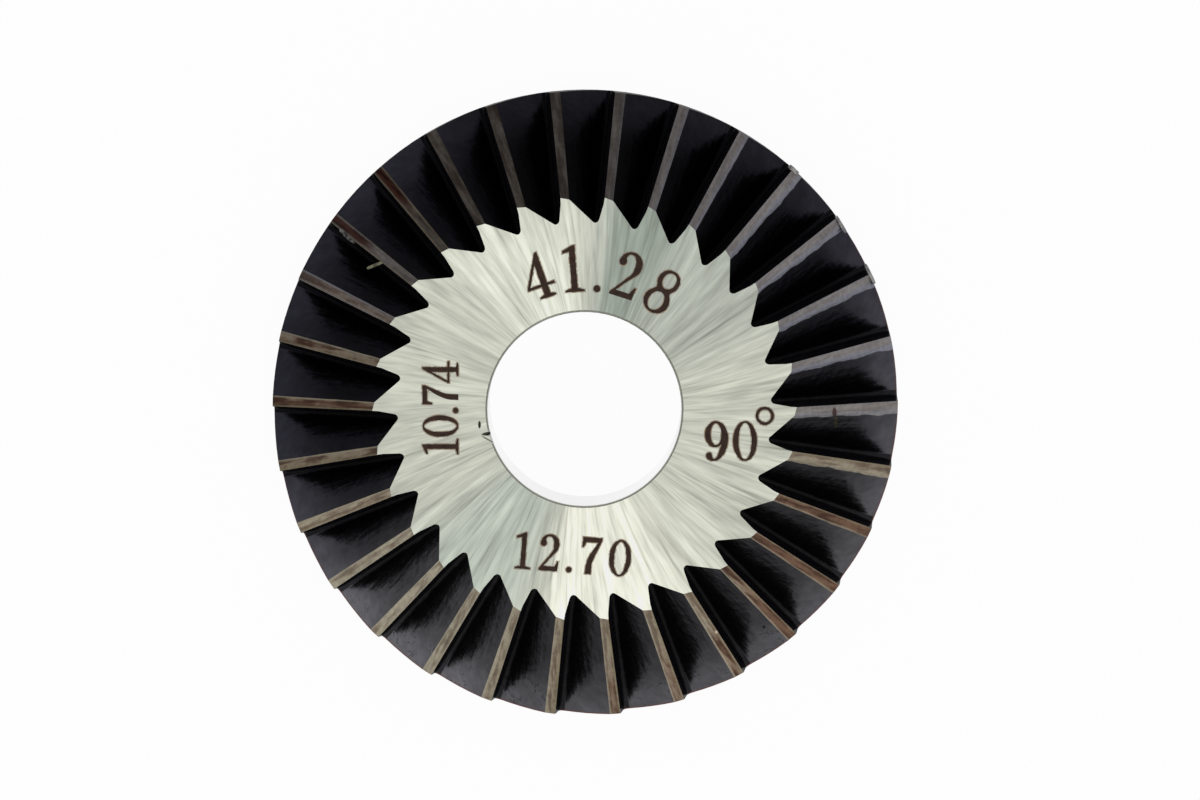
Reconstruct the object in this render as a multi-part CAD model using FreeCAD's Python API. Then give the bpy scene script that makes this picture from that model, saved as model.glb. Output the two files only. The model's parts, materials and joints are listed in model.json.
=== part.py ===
import FreeCAD, Part
import math
import os

# Valve seat cutter: a steel disc with a cone of milled teeth, bored to slide on an arbor.
# The back face lies in the plane Z = 0, the bore runs along Z, and the small front face looks
# to +Z. Seen from the front, each tooth cuts with its counter-clockwise side.
# Lengths are in millimetres and angles in degrees.

# Blank
cutting_diameter = 41.275
front_diameter = 27.8
seat_angle = 45.0
rim_height = 4.0
bore_diameter = 12.7
front_bore_chamfer = 0.14
back_bore_chamfer = 0.4
back_rim_chamfer = 0.25

# Teeth, with the gullet depth and the rake lean measured in the plane of the front face
tooth_count = 30
first_tooth_angle = 0.5
land_width_front = 0.57
land_width_rim = 0.71
land_clearance = 11.0
rake_lean = 8.0
gullet_depth = 1.92
root_radius = 0.28

# Chip broken out of the front edge of the bore
chip_angle = 194.5
chip_width = 0.52
chip_depth = 0.45
chip_height = 1.1

# How far each cut runs past the surface that it opens
overrun = 1.0

outer_radius = cutting_diameter / 2
front_radius = front_diameter / 2
bore_radius = bore_diameter / 2
slope = math.radians(seat_angle)
total_height = rim_height + (outer_radius - front_radius) * math.tan(slope)
pitch = 360 / tooth_count

AXIS = FreeCAD.Vector(0, 0, 1)
CENTRE = FreeCAD.Vector(0, 0, 0)


def at(radius, angle, height):
    """Point at a radius, an angle about the bore and a height above the back face."""
    turn = math.radians(angle)
    return FreeCAD.Vector(radius * math.cos(turn), radius * math.sin(turn), height)


def polygon(corners):
    """Straight edges around a closed row of corners."""
    return [Part.makeLine(a, b) for a, b in zip(corners, corners[1:] + corners[:1])]


def swept(edges, travel):
    """Solid left by a closed outline of edges as it moves along a vector."""
    return Part.Face(Part.Wire(edges)).extrude(travel)


def blank():
    """Turned disc with its bore, its cone and its broken edges."""
    profile = [
        FreeCAD.Vector(bore_radius + back_bore_chamfer, 0, 0),
        FreeCAD.Vector(outer_radius - back_rim_chamfer, 0, 0),
        FreeCAD.Vector(outer_radius, 0, back_rim_chamfer),
        FreeCAD.Vector(outer_radius, 0, rim_height),
        FreeCAD.Vector(front_radius, 0, total_height),
        FreeCAD.Vector(bore_radius + front_bore_chamfer, 0, total_height),
        FreeCAD.Vector(bore_radius, 0, total_height - front_bore_chamfer),
        FreeCAD.Vector(bore_radius, 0, back_bore_chamfer),
    ]
    return Part.Face(Part.Wire(polygon(profile))).revolve(CENTRE, AXIS, 360)


class Tooth:
    """Points and directions of the tooth whose cutting edge is at an angle about the bore."""

    def __init__(self, angle):
        radial = at(1, angle, 0)
        self.behind = at(1, angle - 90, 0)
        clearance = math.radians(land_clearance)
        self.outward = radial * math.sin(slope) + AXIS * math.cos(slope)
        self.across = self.behind * math.cos(clearance) - self.outward * math.sin(clearance)
        self.tip = at(front_radius, angle, total_height)
        self.corner = at(outer_radius, angle, rim_height)
        self.heel_tip = self.tip + self.across * land_width_front
        self.heel_corner = self.corner + self.across * land_width_rim
        down_rake = -radial - self.behind * math.tan(math.radians(rake_lean))
        self.root = self.tip + down_rake * gullet_depth


def square_to(vector, line):
    """Unit vector along the part of a vector that is square to a line of length one."""
    return (vector - line * vector.dot(line)).normalize()


def gullet(tooth, ahead):
    """Rounded vee between the rake face of a tooth and the heel of the tooth ahead of it.

    Seen from the front its root runs alongside the cutting edge, so the rake face, in two
    flats, leans less towards the rim, where the gullet is deeper.
    """
    back = (ahead.heel_corner - ahead.heel_tip).cross(tooth.root - ahead.heel_tip)
    along = tooth.behind.cross(back).normalize()
    if along.dot(AXIS) > 0:
        along = -along
    length = (outer_radius - front_radius + gullet_depth) / along.cross(AXIS).Length
    edge = (tooth.corner - tooth.tip).normalize()

    def edge_beside(start):
        return tooth.tip + edge * ((start - tooth.tip).dot(along) / edge.dot(along))

    halfway = tooth.root + along * length / 2
    up_rake = (edge_beside(halfway) - halfway).normalize()
    up_back = square_to(ahead.heel_corner - tooth.root, along)
    middle = (up_rake + up_back).normalize()
    half_angle = up_rake.getAngle(up_back) / 2
    to_tangent = root_radius / math.tan(half_angle)
    to_bottom = root_radius / math.sin(half_angle) - root_radius
    to_top = (tooth.corner - ahead.corner).Length + overrun

    def section(start):
        on_edge = edge_beside(start)
        return [
            start + up_back * to_tangent,
            start + up_back * to_top,
            on_edge + square_to(tooth.outward, along) * overrun,
            on_edge,
            start + up_rake * to_tangent,
        ]

    first = tooth.root - along * overrun
    last = tooth.root + along * (length + overrun)
    rows = [section(first), section(last)]
    roots = [
        Part.Arc(row[-1], start + middle * to_bottom, row[0]).toShape()
        for start, row in zip((first, last), rows)
    ]
    walls = [roots[0].extrude(last - first)]
    walls += [
        Part.Face(Part.Wire(root.Edges + polygon(row)[:-1])) for root, row in zip(roots, rows)
    ]
    for a, b, c, d in zip(rows[0], rows[0][1:], rows[1][1:], rows[1]):
        walls += [Part.Face(Part.Wire(polygon(corners))) for corners in ([a, b, c], [a, c, d])]
    shell = Part.makeShell(walls)
    shell.sewShape()
    return Part.makeSolid(shell)


def land_relief(tooth):
    """Thin block that lowers the land behind the cutting edge of a tooth."""
    edge = (tooth.corner - tooth.tip).normalize()
    start = tooth.tip - edge * overrun
    far = start + tooth.across * (land_width_rim + overrun)
    section = [start, far, far + tooth.outward * overrun, start + tooth.outward * overrun]
    return swept(polygon(section), tooth.corner + edge * overrun - start)


def chip():
    """Sloping notch broken out of the front edge of the bore."""
    inner = bore_radius - overrun
    far_angle = chip_angle + math.degrees(chip_width / bore_radius)
    deep = at(bore_radius + front_bore_chamfer + chip_depth, chip_angle, total_height)
    section = [at(inner, chip_angle, total_height), deep, at(inner, far_angle, total_height)]
    down = at(-chip_depth - front_bore_chamfer, chip_angle, -chip_height)
    above = [corner - down for corner in section]
    return swept(polygon(above), down * 2)


teeth = [Tooth(first_tooth_angle + pitch * number) for number in range(tooth_count)]
cuts = [chip()]
for tooth, ahead in zip(teeth, teeth[1:] + teeth[:1]):
    cuts += [gullet(tooth, ahead), land_relief(tooth)]
cutter = blank().cut(cuts).removeSplitter()

os.makedirs("parts", exist_ok=True)
cutter.exportStep("parts/seat_cutter.step")
print("solids", len(cutter.Solids), "valid", cutter.isValid(), "volume", round(cutter.Volume, 2))
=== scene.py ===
import json
import math

import bpy
from mathutils import Euler, Matrix, Vector


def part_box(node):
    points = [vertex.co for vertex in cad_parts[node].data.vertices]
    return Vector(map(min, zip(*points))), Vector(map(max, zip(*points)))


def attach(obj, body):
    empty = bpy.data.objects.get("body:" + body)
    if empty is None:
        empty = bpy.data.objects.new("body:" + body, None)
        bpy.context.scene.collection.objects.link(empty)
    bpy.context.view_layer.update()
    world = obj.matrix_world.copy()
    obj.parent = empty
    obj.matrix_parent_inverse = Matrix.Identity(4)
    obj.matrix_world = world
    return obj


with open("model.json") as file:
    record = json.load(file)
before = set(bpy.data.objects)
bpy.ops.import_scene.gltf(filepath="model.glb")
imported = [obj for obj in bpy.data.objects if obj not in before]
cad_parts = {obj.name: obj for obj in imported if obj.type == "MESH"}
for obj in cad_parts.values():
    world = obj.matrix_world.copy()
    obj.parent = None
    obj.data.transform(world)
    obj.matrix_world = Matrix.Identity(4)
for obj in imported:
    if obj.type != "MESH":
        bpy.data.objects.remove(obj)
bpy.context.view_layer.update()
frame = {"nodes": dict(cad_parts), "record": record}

# Sizes of the cutter, in metres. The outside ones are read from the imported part.
MM = 0.001
low_corner, high_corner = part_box("seat_cutter")
outer_radius = high_corner.x
total_height = high_corner.z
bore_radius = frame["record"]["mounts"][0]["dims"]["r_mm"] * MM
front_radius = 13.9 * MM
rim_height = total_height - (outer_radius - front_radius)
tooth_count = 30
first_tooth_angle = math.radians(0.5)
seat_angle = math.radians(45.0)
land_width_front = 0.57 * MM
land_width_rim = 0.71 * MM
land_clearance = math.radians(11.0)

# The photograph's frame, and where the camera stood: high above the cutter's front face
image_width = 1200
image_height = 800
rim_centre_px = (585.2, 403.6)
rim_radius_px = 312.65
camera_distance = 800 * MM
camera_tilt = math.radians(3.0)
camera_lean = math.radians(0.35)
sensor_width = 36.0

# Light from all round, as a share of the white that the camera sees behind the cutter, and
# how far the sheet under the cutter glows white by itself
fill_light = 0.6
sheet_size = 6.0
sheet_glow = 0.96


# Colours, written as they are read off a screen

def srgb(red, green, blue):
    """Linear colour of an 8-bit screen colour."""
    def linear(level):
        share = level / 255
        return share / 12.92 if share <= 0.04045 else ((share + 0.055) / 1.055) ** 2.4
    return (linear(red), linear(green), linear(blue), 1.0)


class Value:
    """A socket of a finish. Arithmetic on it adds Math nodes."""

    def __init__(self, finish, socket):
        self.finish = finish
        self.socket = socket

    def __add__(self, other):
        return self.finish.maths("ADD", self, other)

    __radd__ = __add__

    def __sub__(self, other):
        return self.finish.maths("SUBTRACT", self, other)

    def __rsub__(self, other):
        return self.finish.maths("SUBTRACT", other, self)

    def __mul__(self, other):
        return self.finish.maths("MULTIPLY", self, other)

    __rmul__ = __mul__

    def __truediv__(self, other):
        return self.finish.maths("DIVIDE", self, other)

    def __pow__(self, other):
        return self.finish.maths("POWER", self, other)


class Finish:
    """A procedural material, built up a node at a time."""

    def __init__(self, name, **constants):
        self.material = bpy.data.materials.new(name)
        self.material.use_nodes = True
        self.tree = self.material.node_tree
        self.shader = self.tree.nodes["Principled BSDF"]
        for socket, value in constants.items():
            self.shader.inputs[socket.replace("_", " ")].default_value = value

    def node(self, kind, settings=None, inputs=None, output=0):
        """Add a node with its settings and its sockets' values or links. Return one output."""
        made = self.tree.nodes.new(kind)
        for name, value in (settings or {}).items():
            setattr(made, name, value)
        for name, value in (inputs or {}).items():
            self.feed(made.inputs[name], value)
        return Value(self, made.outputs[output])

    def feed(self, socket, value):
        """Give a socket a value, or link another socket to it."""
        if isinstance(value, Value):
            self.tree.links.new(value.socket, socket)
        elif isinstance(value, tuple):
            socket.default_value = value[:len(socket.default_value)]
        else:
            socket.default_value = value

    def shade(self, **inputs):
        """Feed what changes over the surface to the shader."""
        for name, value in inputs.items():
            self.feed(self.shader.inputs[name.replace("_", " ")], value)
        return self.material

    def maths(self, operation, *values):
        return self.node("ShaderNodeMath", {"operation": operation}, dict(enumerate(values)))

    def rise(self, value, start, end):
        """A mask that goes smoothly from 0 at start to 1 at end, which may be the lower."""
        return self.node(
            "ShaderNodeMapRange",
            {"interpolation_type": "SMOOTHSTEP"},
            {"Value": value, "From Min": start, "From Max": end},
        )

    def mix(self, share, first, second):
        """A colour between two others."""
        return self.node(
            "ShaderNodeMix", {"data_type": "RGBA"}, {0: share, 6: first, 7: second}, output=2
        )

    def lit(self, colour, level):
        """A colour made brighter or darker."""
        return self.node(
            "ShaderNodeVectorMath", {"operation": "SCALE"}, {0: colour, "Scale": level}
        )

    def vector(self, x=0.0, y=0.0, z=0.0):
        return self.node("ShaderNodeCombineXYZ", inputs={"X": x, "Y": y, "Z": z})

    def noise(self, place, scale, detail=2.0, roughness=0.5):
        """Soft random patches, from 0 to 1, around 0.5."""
        return self.node(
            "ShaderNodeTexNoise",
            inputs={"Vector": place, "Scale": scale, "Detail": detail, "Roughness": roughness},
        )

    def bump(self, height, strength, distance):
        return self.node(
            "ShaderNodeBump",
            inputs={"Height": height, "Strength": strength, "Distance": distance},
        )


class Place:
    """Where a point of the cutter lies about its bore, in millimetres, for a finish to read."""

    def __init__(self, finish):
        self.point = finish.node(
            "ShaderNodeVectorMath",
            {"operation": "SCALE"},
            {0: finish.node("ShaderNodeTexCoord", output="Object"), "Scale": 1 / MM},
        )
        self.x, self.y, self.z = self.split(finish, self.point)
        self.radius = (self.x * self.x + self.y * self.y) ** 0.5
        self.turn = finish.maths("ARCTAN2", self.y, self.x)
        pitch = math.tau / tooth_count
        teeth_past = (self.turn - first_tooth_angle) / pitch
        self.tooth = finish.maths("FLOOR", teeth_past)
        self.phase = finish.maths("FRACT", teeth_past)
        nx, ny, self.up = self.split(finish, finish.node("ShaderNodeTexCoord", output="Normal"))
        self.out = (nx * self.x + ny * self.y) / self.radius
        self.round = (ny * self.x - nx * self.y) / self.radius
        width_front = land_width_front / MM
        width_grows = (land_width_rim - land_width_front) / (outer_radius - front_radius)
        width = width_front + (self.radius - front_radius / MM) * width_grows
        self.across_land = (1 - self.phase) * pitch * self.radius / width
        self.degrees = self.turn * (180 / math.pi)
        self.rise = finish.rise

    def sector(self, start, full, ebb, end):
        """A mask over part of the way round, in degrees, from 0 at start to 1 at full and back."""
        return self.rise(self.degrees, start, full) * self.rise(self.degrees, end, ebb)

    def spot(self, x, y, wide, high, lean=0.0):
        """A mask over a small oval mark about a point. It leans by an angle in degrees."""
        cosine, sine = math.cos(math.radians(lean)), math.sin(math.radians(lean))
        aside, along = self.x - x, self.y - y
        over = (aside * cosine + along * sine) / wide
        up = (along * cosine - aside * sine) / high
        return self.rise(over * over + up * up, 1.6, 0.5)

    @staticmethod
    def split(finish, vector):
        made = finish.node("ShaderNodeSeparateXYZ", inputs={0: vector})
        return [Value(finish, socket) for socket in made.socket.node.outputs]


def ground_face(finish, at):
    """Colour of the ground front face with painted highlights and shade, and its fine grinding
    streaks.
    """
    rise, mix = finish.rise, finish.mix

    # Radial streaks: noise drawn round the bore, stretched along the radius
    steer = at.turn - at.radius * 0.006
    around_x = finish.maths("COSINE", steer)
    around_y = finish.maths("SINE", steer)

    def streaks(count, length, detail=2.0):
        spoke = finish.vector(around_x * count, around_y * count, at.radius / length)
        return finish.noise(spoke, 1.0, detail)

    broad = streaks(13.0, 9.0)
    fine = streaks(33.0, 3.0)
    hair = streaks(100.0, 1.5)
    cuts = rise(streaks(52.0, 9.0, 0.0), 0.36, 0.24)

    # Painted highlights, pale where the streaks catch the light, and painted shade, dull to the
    # upper right
    painted_glint_top = at.sector(84, 101, 124, 148)
    painted_glint_foot = at.sector(-102.5, -99.5, -78, -42)
    painted_dull_right = at.sector(8, 44, 76, 94)
    painted_dullest = at.sector(56, 68, 78, 86)
    painted_dull_foot = at.sector(-152, -134, -114, -100)
    face = mix(painted_glint_top, srgb(209, 211, 197), srgb(234, 237, 221))
    face = mix(painted_glint_foot, face, srgb(248, 249, 232))
    face = mix(painted_dull_right, face, srgb(184, 189, 178))
    face = mix(painted_dullest, face, srgb(163, 172, 161))
    face = mix(painted_dull_foot, face, srgb(192, 199, 187))
    ground = finish.lit(
        face, 1.02 + 0.7 * (broad - 0.5) + 0.9 * (fine - 0.5) + 0.35 * (hair - 0.5) - 0.2 * cuts
    )

    # A speck near the bore
    ground = mix(at.spot(-6.87, -1.03, 0.09, 0.24), ground, srgb(48, 52, 44))
    return ground, fine


def lands(finish, at):
    """Colour of the lands, and the two noises drawn out along them.

    They are ground grey to the right, tan with a brown core at the foot and the left. Painted
    shade makes them darker on the left and dark on top, and painted light paler at the foot.
    """
    rise, mix, noise, vector = finish.rise, finish.mix, finish.noise, finish.vector
    q = at.across_land
    drawn = noise(vector(q * 1.4 + at.radius * 0.15, at.radius * 0.4, at.tooth * 7.3), 1.5, 3.0)
    slant = noise(vector(q * 1.6 + at.radius * 0.8, at.radius * 3.0, at.tooth * 3.1), 1.3, 3.0)
    per_tooth = noise(vector(at.tooth * 3.7, 0.0, 5.0), 1.0, 0.0)
    browned = finish.maths("MAXIMUM", rise(at.degrees, 4, -14), rise(at.degrees, 146, 174))
    left = finish.maths("MAXIMUM", rise(at.degrees, 138, 156), rise(at.degrees, -162, -174))
    leftmost = rise(finish.maths("ABSOLUTE", at.degrees), 172, 178)
    rusty = at.sector(-56, -42, -24, -12)
    rusty_rim = at.sector(-100, -84, -48, -38) * rise(at.radius, 15.5, 19.0)
    # Painted shade on top, and painted light at the foot
    painted_shade_top = at.sector(34, 100, 134, 158)
    painted_light_foot = at.sector(-160, -144, -114, -102)
    grey = mix(rise(q, 0.5, 0.95), srgb(136, 132, 132), srgb(130, 131, 141))
    tan = mix(rise(q, 0.0, 0.7), srgb(136, 125, 105), srgb(156, 147, 129))
    brown = mix(rise(drawn, 0.3, 0.6), srgb(70, 47, 38), srgb(110, 84, 68))
    core = rise(finish.maths("ABSOLUTE", q - 0.5), 0.5, 0.2)
    land = mix(browned, grey, tan)
    # Painted light, paler at the foot
    land = mix(painted_light_foot, land, srgb(162, 155, 137))
    share = core * rise(drawn, 0.62, 0.40) * (0.15 + 0.4 * browned + 0.1 * left)
    share = share + core * (0.4 * left + 0.25 * leftmost + 0.65 * rusty + 0.55 * rusty_rim)
    share = share + 0.3 * rusty
    land = mix(finish.maths("MINIMUM", share, 0.95), land, brown)
    # Painted shade, darker on the left and dark on top
    land = finish.lit(land, 1 - 0.34 * left)
    land = mix(painted_shade_top, land, mix(rise(drawn, 0.3, 0.7), srgb(48, 42, 37), srgb(72, 67, 63)))

    # Two lands at the upper left have a dark russet core
    russet = at.sector(124, 132, 146, 154)
    land = mix(0.5 * russet * (1 - core), land, srgb(104, 96, 78))
    russet = russet * core * rise(at.radius, 14.6 + 3.0 * drawn, 16.8 + 3.0 * drawn)
    russet_steel = mix(rise(drawn, 0.35, 0.6), srgb(24, 6, 4), srgb(50, 23, 17))
    land = mix(0.9 * russet, land, russet_steel)
    land = finish.lit(
        land, 1.03 + 0.5 * (drawn - 0.5) + 0.7 * (slant - 0.5) + 0.4 * (per_tooth - 0.5)
    )

    # A scratch at the right, and a bright spot at the foot
    land = mix(at.spot(16.40, -0.40, 0.14, 0.36), land, srgb(76, 60, 60))
    land = mix(at.spot(8.66, -14.86, 0.10, 0.12), land, srgb(196, 180, 164))
    return land, drawn, slant


def gullets(finish, at, rake, fillet):
    """Colour of the blackened gullets, and the height of what roughens them.

    A painted sheen makes them lighter towards the rim and the foot of the cutter, with painted
    shade near the root, at the fillet and on top. They are black on the rake.
    """
    rise, mix, noise, vector = finish.rise, finish.mix, finish.noise, finish.vector
    # The lower side, which faces the lamps, gets the most painted sheen, and the top painted shade
    lit_side = rise(at.degrees, -182, -132) * rise(at.degrees, 56, -28)
    aside = finish.maths("MAXIMUM", rise(at.degrees, 110, 130), rise(at.degrees, -140, -180))
    top = at.sector(58, 76, 106, 124)
    patch = noise(at.point, 0.55, 3.0)
    pebble = noise(at.point, 1.7, 1.0)
    beside = (1 - at.phase) * at.radius
    milled = noise(vector(beside * 0.5, at.radius * 0.25, at.tooth * 5.7), 1.2, 2.0)
    scar = rise(finish.maths("ABSOLUTE", noise(at.point, 1.1, 3.0, 0.6) - 0.5), 0.030, 0.005)
    scar = scar * rise(patch, 0.5, 0.62) * at.sector(-150, -125, -40, -10)
    # Painted shade near the root, where the rake wall hides the light, and painted sheen towards
    # the rim
    inner = 0.36 + 0.18 * lit_side - 0.2 * top
    painted_sheen = (0.16 + 0.09 * aside + 0.9 * lit_side) * (
        inner + (1 - inner) * rise(at.radius, 15.5 + 1.2 * top, 20.5)
    )
    painted_sheen = painted_sheen * (1 + (0.55 - 0.4 * top) * rise(at.radius, 18.0, 20.6))
    painted_sheen = painted_sheen * (1 + 0.5 * at.sector(-152, -138, -116, -104))
    painted_sheen = painted_sheen * (0.85 + 0.3 * rise(patch, 0.3, 0.7) + 0.5 * (pebble - 0.5))
    painted_sheen = painted_sheen * (1 - 0.8 * fillet) * (1 - 0.6 * scar * rise(at.radius, 17.5, 19.0))
    black = finish.lit(mix(lit_side, srgb(62, 61, 73), srgb(66, 65, 68)), painted_sheen)
    black = mix(0.6 * lit_side * rise(at.radius, 20.53, 20.58), black, srgb(108, 62, 54))
    black = mix(rake, black, finish.lit(srgb(17, 17, 21), 0.6 + 0.8 * pebble))

    # The scratch's end at the right, and a dark dot at the foot
    black = mix(at.spot(16.50, -1.02, 0.13, 0.34), black, srgb(64, 61, 48))
    black = finish.lit(black, 1 - 0.8 * at.spot(11.80, -14.70, 0.10, 0.12))
    return black, 0.3 * pebble + 0.25 * patch + 0.3 * milled


def steel():
    """The cutter's finish: ground face, lands and bore, with blackened gullets and rim."""
    finish = Finish(
        "cutter_steel", Specular_IOR_Level=0.0, Specular_Tint=srgb(200, 200, 200),
        Coat_Roughness=0.12,
    )
    at = Place(finish)
    rise, mix, noise, vector = finish.rise, finish.mix, finish.noise, finish.vector

    # Which surface a point is on
    land_up = math.cos(seat_angle) * math.cos(land_clearance)
    on_land = rise(
        at.up * land_up + at.out * land_up - at.round * math.sin(land_clearance), 0.972, 0.985
    ) * rise(at.across_land, 1.3, 1.1)
    flat = rise(finish.maths("ABSOLUTE", at.up), 0.97, 0.99)
    front = flat * rise(at.z, 1.0, 2.0)
    back = flat - front
    bore_mm = bore_radius / MM
    bore = rise(at.radius, bore_mm + 0.05, bore_mm + 0.02)
    rim = rise(at.out, 0.96, 0.985)
    inner_edge = (1 - flat) * rise(at.radius, bore_mm + 0.6, bore_mm + 0.5)
    rake = rise(at.round, 0.6, 0.9)
    fillet = rise(at.round, -0.45, -0.2)

    ground, fine = ground_face(finish, at)
    land, drawn, slant = lands(finish, at)
    black, roughened = gullets(finish, at, rake, fillet)

    # The grinding of the lands runs ragged past their heels
    ragged = noise(vector(at.radius * 0.8, at.tooth * 5.1, 2.0), 1.0, 2.0)
    reach = ragged * (0.15 + 0.5 * at.sector(-30, -10, 40, 70))
    heel = rise(at.across_land - reach, 0.95, 0.85) * rise(at.round, -0.3, -0.45) * (1 - flat)
    on_land = finish.maths("MAXIMUM", on_land, heel * 0.8)

    # Rim, bore and back
    turned = noise(vector(at.z * 9.0, at.turn * 2.0, 0.3), 1.5, 3.0)
    rim_oxide = mix(turned, srgb(34, 20, 18), srgb(58, 36, 32))
    bore_steel = mix(turned, srgb(248, 248, 246), srgb(255, 255, 254))
    back_steel = finish.lit(
        srgb(206, 207, 198), 0.86 + 0.22 * noise(vector(at.x * 0.25, at.y * 7.0, 0.0), 1.0, 3.0)
    )

    colour = mix(on_land, black, land)
    colour = mix(rim, colour, rim_oxide)
    colour = mix(front, colour, ground)
    colour = mix(back, colour, back_steel)
    colour = mix(inner_edge, colour, srgb(172, 174, 161))

    # The chip in the bore's front edge is bright inside, with painted shadow along its two edges
    colour = mix(at.spot(-6.30, -1.86, 0.55, 0.42) * inner_edge, colour, bore_steel)
    colour = mix(bore, colour, bore_steel)
    colour = mix(at.spot(-6.42, -1.60, 0.32, 0.08, 14), colour, srgb(66, 68, 58))
    colour = mix(at.spot(-6.36, -1.98, 0.40, 0.05, -29), colour, srgb(120, 122, 108))

    bare = finish.maths("MINIMUM", on_land + flat + inner_edge + bore, 1.0)
    oxide = 1 - bare
    heights = 0.06 * fine * front + (0.10 * drawn + 0.06 * slant) * on_land
    heights = heights + oxide * (1 - rim) * roughened + 0.05 * turned * rim
    return finish.shade(
        Base_Color=colour,
        Metallic=bare + oxide * (1 - rake) * (1 - rim),
        Roughness=0.42 - 0.1 * front + 0.1 * front * fine - 0.3 * bore - 0.13 * oxide,
        Coat_Weight=0.2 * rim * oxide + 0.15 * rake * oxide + bore,
        Normal=finish.bump(heights, 1.0, 0.1 * MM),
    )


def dress_cutter():
    """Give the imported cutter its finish."""
    cutter = frame["nodes"]["seat_cutter"]
    cutter.data.materials.clear()
    cutter.data.materials.append(steel())


# Numbers etched on the front face: its own sizes in millimetres, and the angle of its cone.
# The outlines of each are one digit high, and run anticlockwise. A point with two numbers is a
# corner, and a smooth one has the heading of the line there as its third, in degrees.

RING = [(1.0, 0.5, 90), (0.5, 1.0, 180), (0.0, 0.5, 270), (0.5, 0.0, 0)]

# How far the curve's handles reach at a smooth point, as a share of the way to the next one,
# which makes a quarter of a ring round, and how deep the numbers are let into the steel
HANDLE_REACH = 0.55
ETCHING_DEPTH = 0.05 * MM


def oval(left, low, right, high):
    """Outline of an oval that fills a box."""
    return [(left + (right - left) * x, low + (high - low) * y, way) for x, y, way in RING]


NUMERALS = {
    "0": (0.60, [oval(0.0, 0.0, 0.60, 1.0), oval(0.135, 0.045, 0.465, 0.955)]),
    "1": (0.42, [[
        (0.0, 0.0), (0.42, 0.0), (0.42, 0.04), (0.275, 0.08), (0.275, 1.0), (0.22, 1.0),
        (0.0, 0.89), (0.0, 0.84), (0.145, 0.87), (0.145, 0.08), (0.0, 0.04),
    ]]),
    "2": (0.56, [[
        (0.02, 0.0), (0.53, 0.0), (0.555, 0.27), (0.51, 0.27), (0.44, 0.125), (0.14, 0.125),
        (0.37, 0.42, 50), (0.54, 0.74, 90), (0.29, 1.0, 180), (0.03, 0.75, 270),
        (0.11, 0.67, 0), (0.19, 0.76, 90), (0.165, 0.86, 80), (0.26, 0.945, 0),
        (0.395, 0.73, 270), (0.29, 0.42, 235), (0.02, 0.05),
    ]]),
    "4": (0.60, [
        [
            (0.20, 0.0), (0.55, 0.0), (0.55, 0.04), (0.44, 0.075), (0.44, 0.25), (0.60, 0.25),
            (0.60, 0.305), (0.44, 0.305), (0.44, 1.0), (0.385, 1.0), (0.0, 0.30), (0.0, 0.25),
            (0.305, 0.25), (0.305, 0.075), (0.20, 0.04),
        ],
        [(0.065, 0.305), (0.305, 0.305), (0.305, 0.745)],
    ]),
    "7": (0.57, [[
        (0.15, 0.0), (0.31, 0.0), (0.38, 0.48, 68), (0.56, 0.93), (0.56, 1.0), (0.04, 1.0),
        (0.03, 0.72), (0.075, 0.72), (0.13, 0.87), (0.46, 0.87), (0.22, 0.44, 248),
    ]]),
    "8": (0.58, [
        [
            (0.29, 0.0, 0), (0.57, 0.27, 90), (0.45, 0.54), (0.53, 0.77, 90), (0.29, 1.0, 180),
            (0.05, 0.76, 270), (0.13, 0.53), (0.01, 0.26, 270),
        ],
        oval(0.15, 0.58, 0.44, 0.95),
        oval(0.115, 0.05, 0.445, 0.48),
    ]),
    "9": (0.59, [
        [
            (0.59, 0.58, 90), (0.29, 1.0, 180), (0.01, 0.67, 270), (0.25, 0.345, 0),
            (0.43, 0.42), (0.235, 0.05, 180), (0.19, 0.14, 90), (0.115, 0.215, 180),
            (0.04, 0.14, 270), (0.22, 0.0, 0),
        ],
        oval(0.15, 0.40, 0.42, 0.95),
    ]),
    ".": (0.15, [oval(0.0, 0.0, 0.15, 0.15)]),
    "o": (0.46, [oval(0.0, 0.0, 0.46, 0.46), oval(0.07, 0.07, 0.39, 0.39)]),
}


def straight(x, y, way):
    """A row's foot line, from a point along a heading."""
    return lambda run: (
        Matrix.Translation((x, y, 0)) @ Matrix.Rotation(math.radians(way), 4, "Z")
        @ Matrix.Translation((run, 0, 0))
    )


def arched(radius, start, reach):
    """A row's foot line, clockwise round the bore from an angle, its run told at a reach."""
    return lambda run: (
        Matrix.Rotation(math.radians(start - 90) - run / reach, 4, "Z")
        @ Matrix.Translation((0, radius, 0))
    )


# Each row's signs, their height and gap, and the line that they stand on
ROWS = [
    ("41.28", 3.05, 0.81, arched(7.7, 115, 9.2)),
    ("90", 2.62, 0.32, straight(7.86, -3.41, 0)),
    ("o", 2.62, 0.0, straight(11.2, -1.05, 0)),
    ("10.74", 2.36, 0.14, straight(-8.25, -2.96, 90)),
    ("12.70", 2.4, 0.51, straight(-4.58, -10.44, -4.5)),
]


def draw(curve, points, place):
    """Add one closed outline to a curve."""
    spots = [place @ Vector((point[0], point[1], 0)) for point in points]
    swing = place.to_3x3().normalized()
    spline = curve.splines.new("BEZIER")
    spline.bezier_points.add(len(points) - 1)
    spline.use_cyclic_u = True
    for number, (point, spot) in enumerate(zip(points, spots)):
        made = spline.bezier_points[number]
        made.handle_left_type = made.handle_right_type = "FREE"
        made.co = spot
        before = spots[number - 1] - spot
        after = spots[(number + 1) % len(spots)] - spot
        if len(point) == 3:
            way = math.radians(point[2])
            heading = swing @ Vector((math.cos(way), math.sin(way), 0))
            made.handle_left = spot - heading * abs(before.dot(heading)) * HANDLE_REACH
            made.handle_right = spot + heading * abs(after.dot(heading)) * HANDLE_REACH
        else:
            made.handle_left = spot + before / 3
            made.handle_right = spot + after / 3


def backwards(points):
    """The same outline run the other way, as a hole is."""
    return [
        (point[0], point[1], point[2] + 180) if len(point) == 3 else point
        for point in reversed(points)
    ]


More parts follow.
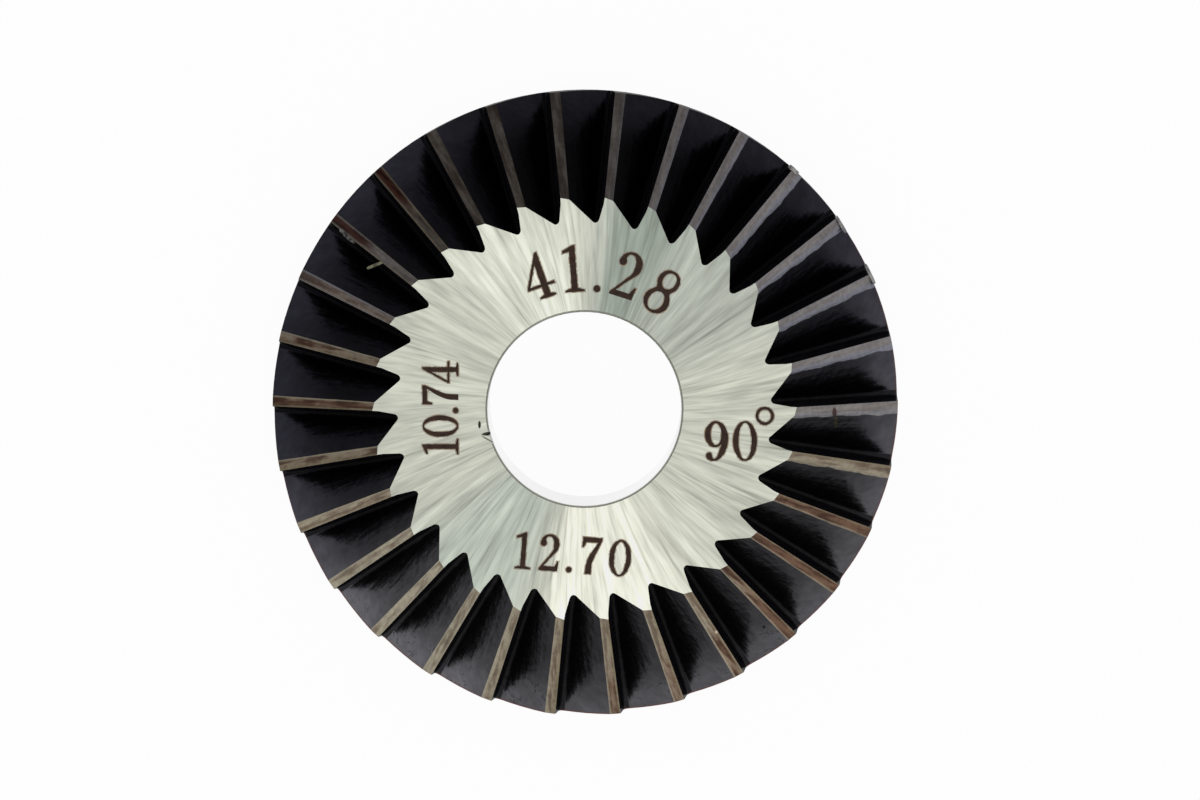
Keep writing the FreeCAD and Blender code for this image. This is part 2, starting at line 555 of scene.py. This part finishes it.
def etching(name, growth, proud):
    """All the numbers as one thin plate, let into the front face."""
    curve = bpy.data.curves.new(name, "CURVE")
    curve.dimensions = "2D"
    curve.fill_mode = "BOTH"
    curve.resolution_u = 8
    curve.extrude = ETCHING_DEPTH / 2
    curve.offset = growth
    for signs, height, gap, seat in ROWS:
        run = 0.0
        for sign in signs:
            width, (outer, *holes) = NUMERALS[sign]
            place = Matrix.Scale(MM, 4) @ seat(run + width * height / 2) @ Matrix.Scale(height, 4)
            place = place @ Matrix.Translation((-width / 2, 0, 0))
            draw(curve, outer, place)
            for hole in holes:
                draw(curve, backwards(hole), place)
            run += width * height + gap
    plate = bpy.data.objects.new(name, curve)
    bpy.context.scene.collection.objects.link(plate)
    bpy.ops.object.select_all(action="DESELECT")
    plate.select_set(True)
    bpy.context.view_layer.objects.active = plate
    bpy.ops.object.convert(target="MESH")
    bpy.ops.object.mode_set(mode="EDIT")
    bpy.ops.mesh.select_all(action="SELECT")
    bpy.ops.mesh.remove_doubles(threshold=0.001 * MM)
    bpy.ops.mesh.normals_make_consistent(inside=False)
    bpy.ops.object.mode_set(mode="OBJECT")
    middle = total_height + proud - ETCHING_DEPTH / 2
    plate.data.transform(Matrix.Translation((0, 0, middle)))
    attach(plate, "root")
    return plate


def etched_brown():
    """The burnt bottom of the etched strokes."""
    finish = Finish("etched_brown", Specular_IOR_Level=0.15, Roughness=0.55)
    grain = finish.noise(finish.node("ShaderNodeTexCoord", output="Object"), 2600.0, 3.0)
    return finish.shade(Base_Color=finish.mix(grain, srgb(32, 18, 15), srgb(78, 58, 48)))


def etched_tan():
    """The stain along the strokes, which the steel shows through."""
    finish = Finish("etched_tan", Specular_IOR_Level=0.3, Roughness=0.5)
    grain = finish.noise(finish.node("ShaderNodeTexCoord", output="Object"), 3400.0, 2.0)
    return finish.shade(
        Base_Color=finish.mix(grain, srgb(150, 122, 98), srgb(190, 172, 146)),
        Alpha=0.15 + 0.75 * finish.rise(grain, 0.35, 0.65),
    )


def numbers():
    """Dark etched numbers in a thin stain."""
    stroke = etching("etched_numbers", 0.0, 0.02 * MM)
    stroke.data.materials.append(etched_brown())
    stain = etching("etched_stain", 0.07 * MM, 0.01 * MM)
    stain.data.materials.append(etched_tan())


# Burrs that the milling and grinding left: a sliver that leans off one land, bits along its
# edge, and proud ends of three lands at the rim. Each runs from its free or thicker end to the
# other, and has these two points, its width and its thickness in millimetres.
SLIVER = [
    ((-14.30, 9.10, 8.03), (-13.22, 9.53, 8.20), 0.25, 0.18),
]
EDGE_BITS = [
    ((-16.15, 11.52, 4.88), (-15.63, 11.16, 5.36), 0.28, 0.22),
    ((-15.83, 11.25, 5.16), (-15.33, 10.86, 5.68), 0.36, 0.24),
    ((-15.48, 10.95, 5.50), (-15.11, 10.69, 5.90), 0.30, 0.22),
]
RIM_BURRS = [
    ((13.44, 15.72, 3.98), (14.04, 15.16, 3.93), 0.36, 0.30),
    ((16.54, 12.40, 3.98), (17.20, 11.30, 3.93), 0.28, 0.32),
    ((18.46, 9.22, 3.98), (19.10, 7.92, 3.93), 0.28, 0.32),
]

# How much thicker or thinner each end of a burr is, and where it starts along the burr's half
END_GROWTH = ((-1, 1.35), (1, 0.6))
END_START = 0.2
ROUGHNESS = 0.04


def burr(start, end, width, thickness, seed):
    """A rough lump drawn out between two points, thinner at the last."""
    start, end = Vector(start), Vector(end)
    bpy.ops.object.select_all(action="DESELECT")
    bpy.ops.mesh.primitive_cube_add(size=1.0)
    lump = bpy.context.object
    bpy.ops.object.mode_set(mode="EDIT")
    bpy.ops.mesh.select_all(action="SELECT")
    bpy.ops.mesh.subdivide(number_cuts=5)
    bpy.ops.mesh.vertices_smooth(factor=0.5, repeat=5)
    bpy.ops.transform.vertex_random(offset=ROUGHNESS, seed=seed)
    length = (end - start).length
    bpy.ops.transform.resize(value=(length, width, thickness))
    bpy.ops.object.mode_set(mode="OBJECT")
    for side, growth in END_GROWTH:
        for vertex in lump.data.vertices:
            vertex.select = side * vertex.co.x > END_START * length
        bpy.ops.object.mode_set(mode="EDIT")
        bpy.ops.transform.resize(value=(1.0, growth, growth))
        bpy.ops.object.mode_set(mode="OBJECT")
    turn = (end - start).to_track_quat("X", "Z").to_matrix().to_4x4()
    lump.data.transform(Matrix.Scale(MM, 4) @ Matrix.Translation((start + end) / 2) @ turn)
    return lump


def burrs(name, runs, material):
    """Several lumps as one piece."""
    lumps = [burr(*run, seed) for seed, run in enumerate(runs, 3)]
    for lump in lumps:
        lump.select_set(True)
    bpy.context.view_layer.objects.active = lumps[0]
    bpy.ops.object.join()
    piece = bpy.context.object
    piece.name = name
    bpy.ops.object.shade_smooth_by_angle(angle=math.radians(40))
    piece.data.materials.append(material)
    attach(piece, "root")


def burr_steel(name, dark, light):
    """Torn steel, brighter where it was rubbed."""
    finish = Finish(name, Specular_IOR_Level=0.3, Roughness=0.5)
    torn = finish.noise(finish.node("ShaderNodeTexCoord", output="Object"), 3000.0, 3.0)
    return finish.shade(
        Base_Color=finish.mix(finish.rise(torn, 0.35, 0.65), dark, light),
        Metallic=0.2 + 0.2 * torn,
        Normal=finish.bump(torn, 0.5, 0.02 * MM),
    )


# Floor, light and camera

def floor():
    """A white sheet under the cutter, which still takes its shadow."""
    bpy.ops.mesh.primitive_plane_add(size=sheet_size)
    sheet = bpy.context.object
    sheet.name = "floor"
    paper = Finish("white_paper", Roughness=0.9, Specular_IOR_Level=0.0)
    paper.shade(Base_Color=srgb(250, 250, 250))
    rays = paper.node("ShaderNodeLightPath")
    ray = {s.name: Value(paper, s) for s in rays.socket.node.outputs}
    seen = paper.maths("MAXIMUM", ray["Is Camera Ray"], ray["Is Glossy Ray"])
    seen = paper.maths("MAXIMUM", seen, ray["Is Transmission Ray"])
    white = paper.node("ShaderNodeEmission", inputs={"Strength": 1.0})
    both = paper.node(
        "ShaderNodeMixShader",
        inputs={0: seen * sheet_glow, 1: Value(paper, paper.shader.outputs[0]), 2: white},
    )
    paper.feed(paper.tree.nodes["Material Output"].inputs["Surface"], both)
    sheet.data.materials.append(paper.material)


def softbox(name, place, size, radiance):
    """A square lamp that faces the cutter."""
    bpy.ops.object.light_add(type="AREA", location=place)
    lamp = bpy.context.object
    lamp.name = name
    lamp.data.size = size
    lamp.data.energy = radiance * math.pi * size * size
    lamp.rotation_euler = Vector(place).to_track_quat("Z", "Y").to_euler()
    lamp.visible_camera = False


def light():
    """Even daylight from all round, with a little more from the front and the right."""
    world = bpy.data.worlds.new("studio")
    bpy.context.scene.world = world
    world.use_nodes = True
    tree = world.node_tree
    background = tree.nodes["Background"]
    background.inputs["Color"].default_value = (1, 1, 1, 1)
    path = tree.nodes.new("ShaderNodeLightPath")
    level = tree.nodes.new("ShaderNodeMapRange")
    level.inputs["To Min"].default_value = fill_light
    level.inputs["To Max"].default_value = 1.0
    tree.links.new(path.outputs["Is Camera Ray"], level.inputs["Value"])
    tree.links.new(level.outputs[0], background.inputs["Strength"])
    softbox("lamp_over", (0.05, -0.25, 0.75), 0.6, 0.5)
    softbox("lamp_front", (0.25, -0.7, 0.35), 0.5, 0.6)


def camera():
    """Stand the camera where the photograph was taken from."""
    rim_centre = Vector((0, 0, rim_height))
    per_px = outer_radius / rim_radius_px
    aim = rim_centre + Vector((
        (image_width / 2 - rim_centre_px[0]) * per_px,
        (rim_centre_px[1] - image_height / 2) * per_px,
        0,
    ))
    turn = Euler((-camera_tilt, camera_lean, 0))
    data = bpy.data.cameras.new("camera")
    data.sensor_width = sensor_width
    data.lens = sensor_width * camera_distance / (image_width * per_px)
    data.clip_start = 0.01
    stand = bpy.data.objects.new("camera", data)
    bpy.context.scene.collection.objects.link(stand)
    stand.rotation_euler = turn
    stand.location = aim + turn.to_matrix() @ Vector((0, 0, camera_distance))
    bpy.context.scene.camera = stand


bpy.ops.object.select_all(action="DESELECT")
dress_cutter()
numbers()
burrs("sliver", SLIVER, burr_steel("olive_burr", srgb(84, 80, 66), srgb(128, 126, 102)))
burrs("edge_burrs", EDGE_BITS, burr_steel("grey_burr", srgb(46, 42, 40), srgb(112, 110, 108)))
burrs("rim_burrs", RIM_BURRS, burr_steel("pale_burr", srgb(116, 112, 117), srgb(170, 170, 167)))
floor()
light()
camera()
bpy.context.scene.view_settings.view_transform = "Standard"

bpy.context.view_layer.update()
